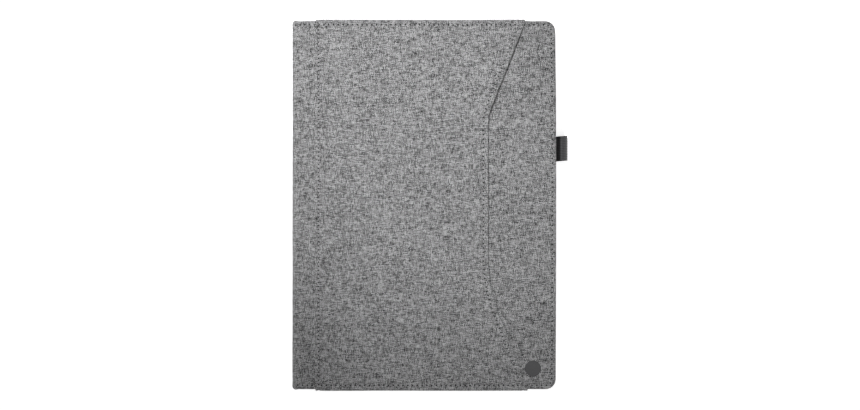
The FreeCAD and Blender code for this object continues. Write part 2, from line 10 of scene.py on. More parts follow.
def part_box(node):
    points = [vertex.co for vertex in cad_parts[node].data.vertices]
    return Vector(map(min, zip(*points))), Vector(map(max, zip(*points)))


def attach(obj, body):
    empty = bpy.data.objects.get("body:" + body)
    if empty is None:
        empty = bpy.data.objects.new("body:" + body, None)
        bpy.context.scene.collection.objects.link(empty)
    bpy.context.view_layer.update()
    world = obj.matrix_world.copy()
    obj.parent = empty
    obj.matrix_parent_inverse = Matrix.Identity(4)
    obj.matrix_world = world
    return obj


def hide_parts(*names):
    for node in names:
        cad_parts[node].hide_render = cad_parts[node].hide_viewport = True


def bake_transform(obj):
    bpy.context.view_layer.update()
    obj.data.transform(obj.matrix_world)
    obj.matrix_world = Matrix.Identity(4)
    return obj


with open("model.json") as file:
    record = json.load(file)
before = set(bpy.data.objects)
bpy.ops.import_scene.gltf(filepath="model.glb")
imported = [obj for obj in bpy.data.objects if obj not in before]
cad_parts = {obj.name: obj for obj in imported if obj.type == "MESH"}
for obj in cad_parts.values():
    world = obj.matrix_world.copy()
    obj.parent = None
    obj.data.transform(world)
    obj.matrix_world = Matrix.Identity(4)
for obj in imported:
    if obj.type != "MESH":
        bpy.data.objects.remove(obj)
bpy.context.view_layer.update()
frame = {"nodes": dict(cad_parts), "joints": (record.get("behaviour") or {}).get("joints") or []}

MM = 0.001

# ---- places read from the frame ------------------------------------------------------------
front_low, front_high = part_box("front_outer_fabric")
panel_low, panel_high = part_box("pocket_panel")
joints = {joint["name"]: joint for joint in frame["joints"]}

HALF_W = front_high.x                 # fore-edge of both covers
HALF_H = front_high.y                 # head of both covers
DEPTH = front_high.z                  # back cover's outer face is at 0
STACK = DEPTH - front_low.z           # thickness of one cover
FOLD_Z = joints["back_fold"]["pos_m"][2]
FOLD_R = FOLD_Z / (1 - math.sqrt(0.5))   # outside radius of the two long folds
WALL = DEPTH / 2 - FOLD_R             # straight half of the spine
ARC = FOLD_R * math.pi / 2
LENGTH = WALL + ARC + 2 * HALF_W - FOLD_R   # cloth from the middle of the spine to the fore-edge
CORNER_R = 7.0 * MM
SPINE_END_R = 3.5 * MM
SEAM_INSET = 2.8 * MM
PERIMETER_PITCH = 3.35 * MM
SIDE_PITCH = 2.85 * MM
HEM_PITCH = 3.05 * MM


def smooth(low, high, value):
    """0 below low, 1 above high and a smooth step between."""
    share = np.clip((value - low) / (high - low), 0, 1)
    return share * share * (3 - 2 * share)


def wander(place, scale, seed):
    """Smooth repeatable noise from -1 to 1; scale is the size of its bumps."""
    return noise.noise(Vector((place[0] / scale + seed, place[1] / scale - seed, 0.37 * seed)))


# ---- the cloth's path round the case --------------------------------------------------------
def section(s):
    """x, z and outward normal of the front half's outer face, s from the middle of the spine."""
    if s < WALL:
        return -HALF_W, DEPTH / 2 + s, -1.0, 0.0
    if s < WALL + ARC:
        angle = (s - WALL) / FOLD_R
        return (FOLD_R - HALF_W - FOLD_R * math.cos(angle),
                DEPTH - FOLD_R + FOLD_R * math.sin(angle), -math.cos(angle), math.sin(angle))
    return FOLD_R - HALF_W + s - WALL - ARC, DEPTH, 0.0, 1.0


def on_cover(s, y, inward, side):
    """Place and outward normal of a point of a cover, some way inward from its outer face."""
    x, z, nx, nz = section(s)
    place = np.array([x - nx * inward, y, z - nz * inward])
    normal = np.array([nx, 0.0, nz])
    if side == "back":
        place[2] = DEPTH - place[2]
        normal[2] = -normal[2]
    return place, normal


def half_height(s, inward=0.0):
    """Half the case's height at s, some way in: less where the spine's ends are rounded."""
    x, _, nx, _ = section(s)
    past = min(max(0.0, SPINE_END_R - HALF_W - (x - nx * inward)), SPINE_END_R)
    return HALF_H - SPINE_END_R + math.sqrt(SPINE_END_R ** 2 - past ** 2)


def edge_distance(s, y, inward=0.0):
    """How far a point lies inside the cover's free edges."""
    from_fore, from_end = LENGTH - s, half_height(s, inward) - abs(y)
    if from_fore < CORNER_R and from_end < CORNER_R:
        return CORNER_R - math.hypot(CORNER_R - from_fore, CORNER_R - from_end)
    return min(from_fore, from_end)


ROW = LENGTH - CORNER_R
BEND = (CORNER_R - SEAM_INSET) * math.pi / 2
UPRIGHT = 2 * (HALF_H - CORNER_R)
SEAM_LENGTH = 2 * ROW + 2 * BEND + UPRIGHT


def along_seam(s, y):
    """How far round the perimeter seam a point lies, from the middle of the spine at the foot."""
    head = y > 0
    from_fore, from_end = LENGTH - s, half_height(s) - abs(y)
    if from_fore < CORNER_R and from_end < CORNER_R:
        turn = math.atan2(CORNER_R - from_fore, CORNER_R - from_end)
        run = ROW + turn * (CORNER_R - SEAM_INSET)
    elif from_end < from_fore:
        run = s
    else:
        return ROW + BEND + y + HALF_H - CORNER_R
    return SEAM_LENGTH - run if head else run


def seam_point(run):
    """s and y of the perimeter seam at a distance round it."""
    foot = run <= SEAM_LENGTH / 2
    run = run if foot else SEAM_LENGTH - run
    if run < ROW:
        s, y = run, half_height(run) - SEAM_INSET
    elif run < ROW + BEND:
        turn = (run - ROW) / (CORNER_R - SEAM_INSET)
        s = ROW + (CORNER_R - SEAM_INSET) * math.sin(turn)
        y = HALF_H - CORNER_R + (CORNER_R - SEAM_INSET) * math.cos(turn)
    else:
        s, y = LENGTH - SEAM_INSET, HALF_H - CORNER_R - (run - ROW - BEND)
    return s, -y if foot else y


# ---- mesh helpers ----------------------------------------------------------------------------
def make_object(name, places, faces, layers=None):
    """A smooth-shaded mesh object; layers maps a UV map's name to one (u, v) per vertex."""
    mesh = bpy.data.meshes.new(name)
    mesh.from_pydata([tuple(p) for p in places], [], faces)
    mesh.update()
    corner_vertices = np.zeros(len(mesh.loops), np.int32)
    mesh.loops.foreach_get("vertex_index", corner_vertices)
    for layer, values in (layers or {}).items():
        uv = mesh.uv_layers.new(name=layer)
        uv.data.foreach_set("uv", np.asarray(values, np.float32)[corner_vertices].ravel())
    mesh.polygons.foreach_set("use_smooth", [True] * len(mesh.polygons))
    piece = bpy.data.objects.new(name, mesh)
    bpy.context.scene.collection.objects.link(piece)
    return piece


def apply_modifiers(piece):
    """Turns what the modifiers make into the piece's own mesh."""
    depsgraph = bpy.context.evaluated_depsgraph_get()
    made = bpy.data.meshes.new_from_object(piece.evaluated_get(depsgraph))
    piece.modifiers.clear()
    piece.data = made


def thicken(piece, thickness):
    """Gives a single layer of cloth its thickness, on the side away from its normals."""
    modifier = piece.modifiers.new("thickness", "SOLIDIFY")
    modifier.thickness = thickness
    modifier.offset = -1
    modifier.use_even_offset = False
    apply_modifiers(piece)


def grid_faces(rows, columns, flip):
    """Quads of a grid whose vertices are numbered row by row."""
    faces = []
    for i in range(rows - 1):
        for j in range(columns - 1):
            a = i * columns + j
            quad = (a, a + 1, a + columns + 1, a + columns)
            faces.append(quad[::-1] if flip else quad)
    return faces


def spread(length, fine_start, fine_end, fine, coarse):
    """Places from 0 to length, closely spaced near the ends that ask for it."""
    places = [0.0]
    while places[-1] < length:
        here = places[-1]
        near = min(here - fine_start, length - fine_end - here)
        share = float(np.clip(near / (8 * coarse), 0, 1))
        places.append(here + fine + (coarse - fine) * share)
    places = np.array(places)
    return places * (length / places[-1])


def skirt(places, normals, rim, hand, profiles):
    """Extra rings of cloth turned over an edge: rim is the edge's vertex numbers in order, and
    hand says on which side of it the cloth lies.  profiles[k] is the k-th ring's (outward,
    inward) for each rim vertex: how far past the rim and how far below the cloth."""
    rim_places = places[rim]
    along = np.gradient(rim_places, axis=0)
    along /= np.linalg.norm(along, axis=1)[:, None]
    outward = np.cross(along, normals[rim]) * hand
    outward /= np.linalg.norm(outward, axis=1)[:, None]
    return [rim_places + outward * reach[:, :1] - normals[rim] * reach[:, 1:]
            for reach in profiles]


# ---- materials -------------------------------------------------------------------------------
class Shader:
    """A node material, built one operation at a time."""

    def __init__(self, name, roughness, sheen=0.0, metallic=0.0):
        self.material = bpy.data.materials.new(name)
        self.material.use_nodes = True
        self.tree = self.material.node_tree
        self.surface = self.tree.nodes["Principled BSDF"]
        self.surface.inputs["Roughness"].default_value = roughness
        self.surface.inputs["Metallic"].default_value = metallic
        self.surface.inputs["Sheen Weight"].default_value = sheen
        self.surface.inputs["Sheen Roughness"].default_value = 0.6

    def node(self, kind, inputs=(), **settings):
        made = self.tree.nodes.new(kind)
        for key, setting in settings.items():
            setattr(made, key, setting)
        for slot, source in dict(inputs).items():
            self.feed(source, made.inputs[slot])
        return made

    def feed(self, source, socket):
        if isinstance(source, bpy.types.NodeSocket):
            self.tree.links.new(source, socket)
        else:
            socket.default_value = source

    def math(self, operation, *values, clamp=False):
        return self.node("ShaderNodeMath", dict(enumerate(values)), operation=operation,
                         use_clamp=clamp).outputs[0]

    def remap(self, value, low, high, to_low=0.0, to_high=1.0, kind="SMOOTHSTEP"):
        inputs = {"Value": value, "From Min": low, "From Max": high,
                  "To Min": to_low, "To Max": to_high}
        return self.node("ShaderNodeMapRange", inputs, interpolation_type=kind).outputs[0]

    def blend(self, factor, first, second):
        return self.node("ShaderNodeMix", {0: factor, 2: first, 3: second},
                         data_type="FLOAT").outputs[0]

    def vector(self, x, y, z=0.0):
        return self.node("ShaderNodeCombineXYZ", {0: x, 1: y, 2: z}).outputs[0]

    def noise(self, vector, scale, detail=2.0):
        return self.node("ShaderNodeTexNoise", {"Vector": vector, "Scale": scale,
                                                "Detail": detail}).outputs[0]

    def uv(self, layer):
        """u and v of a UV map, in millimetres."""
        found = self.node("ShaderNodeUVMap", uv_map=layer).outputs[0]
        split = self.node("ShaderNodeSeparateXYZ", {0: found})
        return [self.math("MULTIPLY", split.outputs[i], 1000.0) for i in (0, 1)]

    def place(self):
        """The point's own place in the piece at rest, in millimetres."""
        found = self.node("ShaderNodeTexCoord").outputs["Object"]
        return self.node("ShaderNodeVectorMath", {0: found, "Scale": 1000.0},
                         operation="SCALE").outputs[0]

    def colour(self, tone, stops):
        """Colour of a tone from 0 to 1, from (position, (r, g, b)) stops."""
        ramp = self.node("ShaderNodeValToRGB", {0: tone})
        elements = ramp.color_ramp.elements
        while len(elements) < len(stops):
            elements.new(0.5)
        for element, (position, rgb) in zip(elements, stops):
            element.position = position
            element.color = (*rgb, 1)
        self.feed(ramp.outputs[0], self.surface.inputs["Base Color"])

    def bump(self, height, depth_mm, strength=1.0):
        made = self.node("ShaderNodeBump", {"Height": height, "Strength": strength,
                                            "Distance": depth_mm * MM})
        self.feed(made.outputs[0], self.surface.inputs["Normal"])


# the woven cloth; lengths in mm, weights on a tone that runs from 0 to 1
YARN = 0.6            # between neighbouring yarns
SWAY = 1.4            # how far a yarn wanders to the side
SWAY_PER_MM = 0.16    # how many wanders to a millimetre
DRIFT_PER_MM = 0.28   # how fast a yarn's tone changes along it
YARN_STEP = 7.31      # noise units between yarns, so that neighbours differ
CROSSING_STEP = 3.7   # the same between crossings
CROSSING_WEIGHT = 0.27
CLOUD_PER_MM = 0.03
CLOUD_WEIGHT = 0.12
FIBRE_PER_MM = 6.0
FIBRE_WEIGHT = 0.3
HOLE = 0.62           # radius of a needle hole: its dip in the bump and its painted shade
STITCH = 3.0          # usual distance between needle holes


def cloth_material(name, dark, light):
    """Heathered plain weave: every yarn has its own tone, which drifts along its length.  The gaps
    between yarns and the needle holes are darkened as painted shade.
    """
    shader = Shader(name, roughness=0.93, sheen=0.12)
    across, up = shader.uv("Cloth")
    flat = shader.vector(across, up)

    def centred(noise_value, weight, tone):
        """Adds a weighted noise, which averages 0.5, without changing the mean tone."""
        offset = shader.math("SUBTRACT", noise_value, 0.5)
        return shader.math("MULTIPLY_ADD", offset, weight, tone)

    def over_and_under(own, other):
        """Height of a yarn: round across its width, and half as high where it dives."""
        return shader.math("MULTIPLY", own, shader.math("MULTIPLY_ADD", other, 0.5, 0.5))

    wander_colour = shader.node("ShaderNodeTexNoise",
                                {"Vector": flat, "Scale": SWAY_PER_MM, "Detail": 2.0}).outputs[1]
    sway = shader.node("ShaderNodeSeparateColor", {0: wander_colour})
    warp, weft = (
        shader.math("DIVIDE", shader.math("MULTIPLY_ADD", sway.outputs[i], SWAY, way), YARN)
        for i, way in enumerate((across, up)))
    warp_number, weft_number = shader.math("FLOOR", warp), shader.math("FLOOR", weft)
    warp_share, weft_share = shader.math("FRACT", warp), shader.math("FRACT", weft)
    warp_over = shader.math("FLOORED_MODULO", shader.math("ADD", warp_number, weft_number), 2.0)

    warp_round, weft_round = (shader.math("SINE", shader.math("MULTIPLY", share, math.pi))
                              for share in (warp_share, weft_share))
    height = shader.blend(warp_over, over_and_under(weft_round, warp_round),
                          over_and_under(warp_round, weft_round))

    warp_place = shader.vector(shader.math("MULTIPLY", warp_number, YARN_STEP),
                               shader.math("MULTIPLY", up, DRIFT_PER_MM), 3.1)
    weft_place = shader.vector(shader.math("MULTIPLY", across, DRIFT_PER_MM),
                               shader.math("MULTIPLY", weft_number, YARN_STEP), 9.7)
    tone = shader.blend(warp_over, shader.noise(weft_place, 1.0, 1.0),
                        shader.noise(warp_place, 1.0, 1.0))
    crossing_place = shader.vector(shader.math("MULTIPLY", warp_number, CROSSING_STEP),
                                   shader.math("MULTIPLY", weft_number, CROSSING_STEP), 5.3)
    tone = centred(shader.noise(crossing_place, 1.0, 0.0), CROSSING_WEIGHT, tone)
    tone = shader.remap(tone, 0.28, 0.72, kind="LINEAR")
    tone = centred(shader.noise(flat, CLOUD_PER_MM, 3.0), CLOUD_WEIGHT, tone)
    tone = centred(shader.noise(flat, FIBRE_PER_MM, 3.0), FIBRE_WEIGHT, tone)
    # painted shade: the tone is darkened where the yarns lie low, in the gaps between them and
    # where they dive under
    painted_gap_shade = shader.remap(height, 0.05, 0.6, 0.3, 1.0)
    tone = shader.math("MULTIPLY", tone, painted_gap_shade)

    count, offside = shader.uv("Seam")
    beside = shader.math("SUBTRACT", shader.math("FRACT", shader.math("ADD", count, 0.5)), 0.5)
    along_squared = shader.math("POWER", shader.math("MULTIPLY", beside, STITCH), 2.0)
    nearness = shader.math("SQRT", shader.math("ADD", along_squared,
                                               shader.math("POWER", offside, 2.0)))
    # needle holes: the bump dips there, and the tone falls to near black as painted shade in the
    # pit
    hole_dip_and_shade = shader.remap(nearness, 0.6 * HOLE, 1.1 * HOLE)
    shader.colour(shader.math("MULTIPLY", tone, hole_dip_and_shade),
                  [(0.0, [0.08 * part for part in dark]), (0.22, dark), (0.85, light)])
    shader.bump(shader.math("MULTIPLY", height, hole_dip_and_shade), 0.2, 0.8)
    return shader.material


def lining_material():
    """Brushed microfibre: a short soft nap that lies in patches."""
    shader = Shader("microfibre lining", roughness=0.95, sheen=0.35)
    across, up = shader.uv("Cloth")
    nap = shader.noise(shader.vector(across, up), 3.0, 4.0)
    brushed = shader.noise(shader.vector(across, shader.math("MULTIPLY", up, 0.25)), 0.12, 3.0)
    tone = shader.math("MULTIPLY_ADD", nap, 0.5, shader.math("MULTIPLY", brushed, 0.6))
    shader.colour(tone, [(0.3, (0.03, 0.03, 0.032)), (0.8, (0.085, 0.085, 0.09))])
    shader.bump(nap, 0.12, 0.6)
    return shader.material


def thread_material():
    """Twisted polyester thread."""
    shader = Shader("sewing thread", roughness=0.6, sheen=0.3)
    along, round_it = shader.uv("Cloth")
    twist = shader.math("SINE", shader.math("MULTIPLY_ADD", along, 14.0, round_it))
    # painted shade: the colour follows the twist, lighter on its ridges and darker in its grooves,
    # like the bump
    shader.colour(shader.math("MULTIPLY_ADD", twist, 0.25, 0.5),
                  [(0.0, (0.18, 0.18, 0.182)), (1.0, (0.46, 0.46, 0.465))])
    shader.bump(twist, 0.06, 0.8)
    return shader.material


def elastic_material():
    """Black rubber-cored webbing: cords run along the band, bound by fine cross threads."""
    shader = Shader("elastic webbing", roughness=0.7, sheen=0.25)
    along, across = shader.uv("Cloth")
    cross_threads = shader.math("SINE", shader.math("MULTIPLY", along, 11.0))
    cords = shader.math("COSINE", shader.math("MULTIPLY", across, 2 * math.pi))
    fuzz = shader.noise(shader.vector(along, across), 2.5, 3.0)
    # painted shade: the tone is lighter on the cords and cross threads and darker between them, in
    # the bump's shape; the fuzz is uneven tone
    tone = shader.math("MULTIPLY_ADD", cords, 0.28, shader.math("MULTIPLY_ADD", cross_threads,
                                                              0.07, fuzz))
    shader.colour(tone, [(0.25, (0.006, 0.006, 0.007)), (0.95, (0.06, 0.06, 0.064))])
    shader.bump(shader.math("MULTIPLY_ADD", cross_threads, 0.35, tone), 0.08, 0.6)
    return shader.material


def moulded_material(name, dark, light, roughness, grain):
    """Moulded plastic with a fine spark-eroded grain and slightly uneven tone."""
    shader = Shader(name, roughness=roughness)
    place = shader.place()
    pits = shader.noise(place, grain, 3.0)
    handled = shader.noise(place, 0.04, 2.0)
    shader.colour(shader.math("MULTIPLY_ADD", pits, 0.35, shader.math("MULTIPLY", handled, 0.65)),
                  [(0.3, dark), (0.7, light)])
    shader.bump(pits, 0.04, 0.5)
    return shader.material


def board_material():
    """Grey board: pressed fibres with darker flecks."""
    shader = Shader("grey board", roughness=0.9)
    place = shader.place()
    fibres = shader.noise(place, 1.2, 6.0)
    shader.colour(fibres, [(0.35, (0.2, 0.185, 0.16)), (0.6, (0.42, 0.39, 0.34))])
    shader.bump(fibres, 0.08, 0.5)
    return shader.material


def magnet_material():
    """Nickel plate with a faint brushed grain."""
    shader = Shader("nickel plate", roughness=0.3, metallic=1.0)
    place = shader.place()
    stretched = shader.node("ShaderNodeVectorMath", {0: place, 1: (6.0, 0.3, 6.0)},
                            operation="MULTIPLY").outputs[0]
    grain = shader.noise(stretched, 1.0, 3.0)
    shader.colour(grain, [(0.3, (0.4, 0.4, 0.41)), (0.7, (0.62, 0.61, 0.6))])
    shader.bump(grain, 0.02, 0.4)
    return shader.material


DARK_YARN, LIGHT_YARN = (0.09, 0.09, 0.092), (0.545, 0.545, 0.55)
COVER_CLOTH = cloth_material("cover cloth", DARK_YARN, LIGHT_YARN)
PANEL_CLOTH = cloth_material("pocket cloth", DARK_YARN, LIGHT_YARN)
LINING = lining_material()
THREAD = thread_material()
ELASTIC = elastic_material()


# ---- covers: cloth and lining ----------------------------------------------------------------
EDGE_ROLL = 1.1 * MM          # how round the cover's edges are
CLOTH_THICK = 0.38 * MM
LINING_THICK = 0.5 * MM
LINING_INSET = 1.5 * MM       # from the cover's edge to the lining's
LINING_ROLL = 0.35 * MM
LINING_SPREAD = 3.0           # how many times its corner's width the lining's bend would spread over; bend_at works it out but does not use it
UPRIGHT_STEPS = 97
CORNER_STEPS = 20
ROLL_STEPS = 6
BETWEEN_HOLES = (0.5 * MM, 1 * MM)   # a seam map's value where no needle hole's dip or painted shade shows
CHANNEL = 0.2 * MM            # how deep a seam pulls the cloth in


def channel(distance, width=0.6 * MM):
    """1 on a seam, falling to 0 beside it."""
    return math.exp(-(distance / width) ** 2)


def hand_made(place):
    """Moves a point by the few tenths of a millimetre that a sewn edge bows."""
    x, y = place[0], place[1]
    bow = 0.25 * MM * math.cos(y / (62 * MM)) - 0.35 * MM * float(smooth(70 * MM, 125 * MM, y))
    place[0] += bow * float(smooth(0.3 * HALF_W, HALF_W, x))
    place[1] += (0.2 * MM * wander((x, 0), 45 * MM, 3.0 if y > 0 else 8.0)
                 * float(smooth(0.7 * HALF_H, HALF_H, abs(y))))
    return place


def rolled_edge(s):
    """Steps (outward, inward) of the outer cloth's turned edge: a small roll along the covers,
    and the spine's larger rounding where the cloth goes round its ends.  Both have the same
    number of steps, so that one passes into the other."""
    on_spine = 1 - float(smooth(WALL, WALL + ARC, s))
    quarter = [i * math.pi / (2 * ROLL_STEPS) for i in range(1, ROLL_STEPS + 1)]
    small = [(EDGE_ROLL * math.sin(a), EDGE_ROLL * (1 - math.cos(a))) for a in quarter]
    small += [(EDGE_ROLL * math.cos(a), STACK - EDGE_ROLL * (1 - math.sin(a)))
              for a in [0.0] + quarter[:-1]]
    widest = math.acos(1 - STACK / SPINE_END_R)
    turns = [i * widest / (2 * ROLL_STEPS) for i in range(1, 2 * ROLL_STEPS + 1)]
    large = [(EDGE_ROLL + SPINE_END_R * math.sin(a), SPINE_END_R * (1 - math.cos(a)))
             for a in turns]
    small += [(-0.3 * MM, STACK - 0.03 * MM), (-2.2 * MM, STACK - 0.35 * MM)]
    large += [(4.1 * MM, STACK - 0.03 * MM), (2.4 * MM, STACK - 0.35 * MM)]
    return np.array(large) * on_spine + np.array(small) * (1 - on_spine)


def lining_edge(_):
    """Steps of the lining's edge, which only dips to the board and is the same at every s."""
    quarter = [i * math.pi / 6 for i in range(1, 4)]
    return np.array([(LINING_ROLL * math.sin(a), LINING_ROLL * (1 - math.cos(a)))
                     for a in quarter] + [(LINING_ROLL, LINING_THICK)])


def cover_grid(inset, inward):
    """s and y of a grid that fills a cover to a given distance from its free edges."""
    across = spread(LENGTH - inset, WALL + ARC + 3 * MM, 6 * MM, 0.4 * MM, 2.6 * MM)
    radius = CORNER_R - inset
    level = HALF_H - CORNER_R
    ends = level + radius * np.sin(np.linspace(0, math.pi / 2, CORNER_STEPS + 1)[1:])
    upward = np.concatenate([-ends[::-1], np.linspace(-level, level, UPRIGHT_STEPS), ends])
    grid = np.zeros((len(across), len(upward), 2))
    for j, y in enumerate(upward):
        past = max(0.0, abs(y) - level)
        drawn_in = radius - math.sqrt(max(radius ** 2 - past ** 2, 0.0))
        for i, s in enumerate(across):
            here = s - drawn_in * float(smooth(LENGTH - 60 * MM, LENGTH - 8 * MM, s))
            end = HALF_H - half_height(here, inward)
            fade = float(smooth(HALF_H - 40 * MM, HALF_H - 8 * MM, abs(y)))
            grid[i, j] = here, y - math.copysign(end * fade, y)
    return grid


def cover_layer(name, side, inset, inward, facing, relief, edge, thickness):
    """One layer of a cover with its turned edge, from the middle of the spine to the fore-edge.
    relief(s, y, distance) is the height that seams and padding add; facing is 1 for the outer
    cloth and -1 for the lining."""
    grid = cover_grid(inset, inward)
    rows, columns = grid.shape[:2]
    sign = 1 if side == "front" else -1
    places, normals, cloth, seam = [], [], [], []
    for s, y in grid.reshape(-1, 2):
        distance = edge_distance(s, y, inward)
        place, normal = on_cover(s, y, inward, side)
        normal = normal * facing
        places.append(hand_made(place + normal * relief(s, y, distance)))
        normals.append(normal)
        cloth.append((sign * s, y))
        seam.append((along_seam(s, y) / PERIMETER_PITCH * MM, distance - SEAM_INSET))
    places, normals = np.array(places), np.array(normals)

    foot = [i * columns for i in range(rows)]
    fore = [(rows - 1) * columns + j for j in range(1, columns)]
    head = [i * columns + columns - 1 for i in range(rows - 2, -1, -1)]
    rim = foot + fore + head
    hand = sign * facing
    faces = grid_faces(rows, columns, flip=hand > 0)
    profiles = np.array([edge(grid.reshape(-1, 2)[v][0]) for v in rim]).transpose(1, 0, 2)
    rim_cloth = np.array([cloth[v] for v in rim])
    limits = np.array([LENGTH, HALF_H]) - CORNER_R
    away = np.where(np.abs(rim_cloth) > limits, np.sign(rim_cloth), 0.0)
    layers, before, last, unrolled = [places], rim, places[rim], 0.0
    for ring in skirt(places, normals, rim, hand, profiles):
        first = sum(len(layer) for layer in layers)
        numbers = list(range(first, first + len(rim)))
        unrolled += float(np.median(np.linalg.norm(ring - last, axis=1)))
        layers.append(ring)
        cloth.extend(rim_cloth + away * unrolled)
        seam.extend([BETWEEN_HOLES] * len(rim))
        for k in range(len(rim) - 1):
            quad = (before[k], before[k + 1], numbers[k + 1], numbers[k])
            faces.append(quad[::-1] if hand > 0 else quad)
        before, last = numbers, ring
    piece = make_object(name, np.concatenate(layers), faces, {"Cloth": cloth, "Seam": seam})
    thicken(piece, thickness)
    return piece


def cloth_relief(s, y, distance):
    """Outer cloth: pulled in along the seam, a little fuller between seam and edge."""
    ripple = (0.11 * wander((s, y), 38 * MM, 5.0) + 0.05 * wander((s, y), 13 * MM, 2.0)) * MM
    return (ripple * float(smooth(EDGE_ROLL, 9 * MM, distance))
            - CHANNEL * channel(distance - SEAM_INSET)
            - 0.06 * MM * channel(distance - SEAM_INSET, 2.2 * MM))


def lining_relief(s, y, distance):
    """Lining: flat against the board, with the seam's channel."""
    return (-0.05 * MM * (1 + wander((s, y), 30 * MM, 7.0))
            - 0.8 * CHANNEL * channel(distance - SEAM_INSET))


def bend_at(side, piece, inward, spread_by=1.0):
    """Bakes a piece's transform into its mesh; the ends of a bend across one long fold, about the
    middle of its own rounded corner, are worked out but not used.
    """
    centre_x, centre_z = FOLD_R - HALF_W, DEPTH - FOLD_R
    middle = FOLD_R - inward
    near, far = (middle - middle * spread_by) / 2, (middle + middle * spread_by) / 2
    start = Vector((centre_x - far, 0, centre_z + near))
    end = Vector((centre_x - near, 0, centre_z + far))
    if side == "back":
        start.z, end.z = DEPTH - start.z, DEPTH - end.z
    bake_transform(piece)


ROUND_STEPS = 72              # sides of a small round thing


def camera_opening(piece):
    """Cuts the camera hole through a layer of the back cover."""
    low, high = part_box("camera_ring")
    centre = (low + high) / 2
    clear_radius = (high.x - low.x) / 2 + 0.05 * MM
    bpy.ops.mesh.primitive_cylinder_add(vertices=ROUND_STEPS, radius=clear_radius,
                                        depth=40 * MM, location=(centre.x, centre.y, 0))
    cutter = bpy.context.object
    modifier = piece.modifiers.new("camera hole", "BOOLEAN")
    modifier.object = cutter
    modifier.operation = "DIFFERENCE"
    modifier.solver = "EXACT"
    apply_modifiers(piece)
    bpy.data.objects.remove(cutter)


for side in ("front", "back"):
    cloth = cover_layer(side + "_cover_cloth", side, EDGE_ROLL, 0.0, 1, cloth_relief, rolled_edge,
                        CLOTH_THICK)
    lining = cover_layer(side + "_cover_lining", side, LINING_INSET + LINING_ROLL, STACK, -1,
                         lining_relief, lining_edge, LINING_THICK)
    if side == "back":
        camera_opening(cloth)
        camera_opening(lining)
    bend_at(side, cloth, 0.0)
    bend_at(side, lining, STACK, LINING_SPREAD)
    cloth.data.materials.append(COVER_CLOTH)
    lining.data.materials.append(LINING)
    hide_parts(side + "_outer_fabric", *(["spine_outer_fabric"] * (side == "front")))
    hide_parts(side + "_lining", *(["spine_lining"] * (side == "front")))


# ---- pocket panel ----------------------------------------------------------------------------
PANEL_TOP = panel_high.z - 0.3 * MM
PANEL_LEFT = panel_low.x
PANEL_ROLL = 1.5 * MM
PANEL_FLAT = panel_high.y - PANEL_ROLL       # y where the panel starts to turn down
PANEL_TURN = PANEL_ROLL * math.pi / 2
PANEL_DROP = PANEL_TOP - PANEL_ROLL - panel_low.z
PANEL_REACH = PANEL_FLAT + PANEL_TURN + PANEL_DROP
SIDE_SEAM_X = (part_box("pocket_side_thread")[0].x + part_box("pocket_side_thread")[1].x) / 2
HEM_SEAM = 3.5 * MM
HEM = 6.0 * MM                # width of the doubled cloth at the mouth
END_SEAM_Y = HALF_H - SEAM_INSET
PANEL_LIFT = 0.4 * MM         # the frame's panel lies this far above the cover
PANEL_EDGE = 0.4 * MM         # roll of the panel's folded long edges
GAPE = 0.55 * MM              # how far the mouth stands open along its upper slope
WEAVE_SHIFT = np.array([13, 7]) * MM   # the panel's yarns don't line up with the cover's
SEAM_REACH = 2 * MM           # beyond this, the distance to a seam no longer matters


def mouth_line():
    """y and x of the pocket's mouth, from the foot to the head, as the frame has them."""
    corners = [vertex.co for vertex in frame["nodes"]["pocket_panel"].data.vertices]
    least_x, end_x, middle_y = 40 * MM, 71.5 * MM, 100 * MM
    line = {round(p.y, 5): p.x for p in corners
            if p.x > least_x and abs(p.z - DEPTH - PANEL_LIFT) < 0.05 * MM
            and (p.x > end_x or abs(p.y) < middle_y)}
    return np.array(sorted(line.items())).T


MOUTH_Y, MOUTH_X = mouth_line()


def mouth_x(y):
    return float(np.interp(y, MOUTH_Y, MOUTH_X))


def mouth_lean(y):
    """Length along the mouth per length in y."""
    slope = (mouth_x(y + 2 * MM) - mouth_x(y - 2 * MM)) / (4 * MM)
    return math.sqrt(1 + slope ** 2)


MOUTH_STEPS = np.linspace(-HALF_H, HALF_H, 801)
MOUTH_RUNS = np.concatenate([[0], np.cumsum([mouth_lean(y) for y in MOUTH_STEPS[:-1]])
                             * (MOUTH_STEPS[1] - MOUTH_STEPS[0])])


def on_panel(x, t, inward=0.0):
    """Place and normal at x and at a distance t from the middle, along cloth that turns down
    over the head and foot."""
    run, way = abs(t), math.copysign(1, t)
    if run < PANEL_FLAT:
        place, normal = (x, t, PANEL_TOP), (0, 0, 1)
    elif run < PANEL_FLAT + PANEL_TURN:
        angle = (run - PANEL_FLAT) / PANEL_ROLL
        place = (x, way * (PANEL_FLAT + PANEL_ROLL * math.sin(angle)),
                 PANEL_TOP - PANEL_ROLL * (1 - math.cos(angle)))
        normal = (0, way * math.sin(angle), math.cos(angle))
    else:
        place = (x, way * panel_high.y, PANEL_TOP - PANEL_ROLL - (run - PANEL_FLAT - PANEL_TURN))
        normal = (0, way, 0)
    place, normal = np.array(place), np.array(normal, float)
    return place - normal * inward, normal


def panel_seams(x, t):
    """Signed distance inside the nearest seam of the panel, and the stitch count along it."""
    y = float(np.clip(t, -HALF_H, HALF_H))
    s = x + HALF_W - FOLD_R + WALL + ARC
    run = s if t < 0 else SEAM_LENGTH - s
    mouth = (mouth_x(y) - x) / mouth_lean(y)
    mouth_run = float(np.interp(y, MOUTH_STEPS, MOUTH_RUNS))
    return min((x - SIDE_SEAM_X, y / SIDE_PITCH),
               (END_SEAM_Y - abs(t), run / PERIMETER_PITCH),
               (mouth - HEM_SEAM, mouth_run / HEM_PITCH))


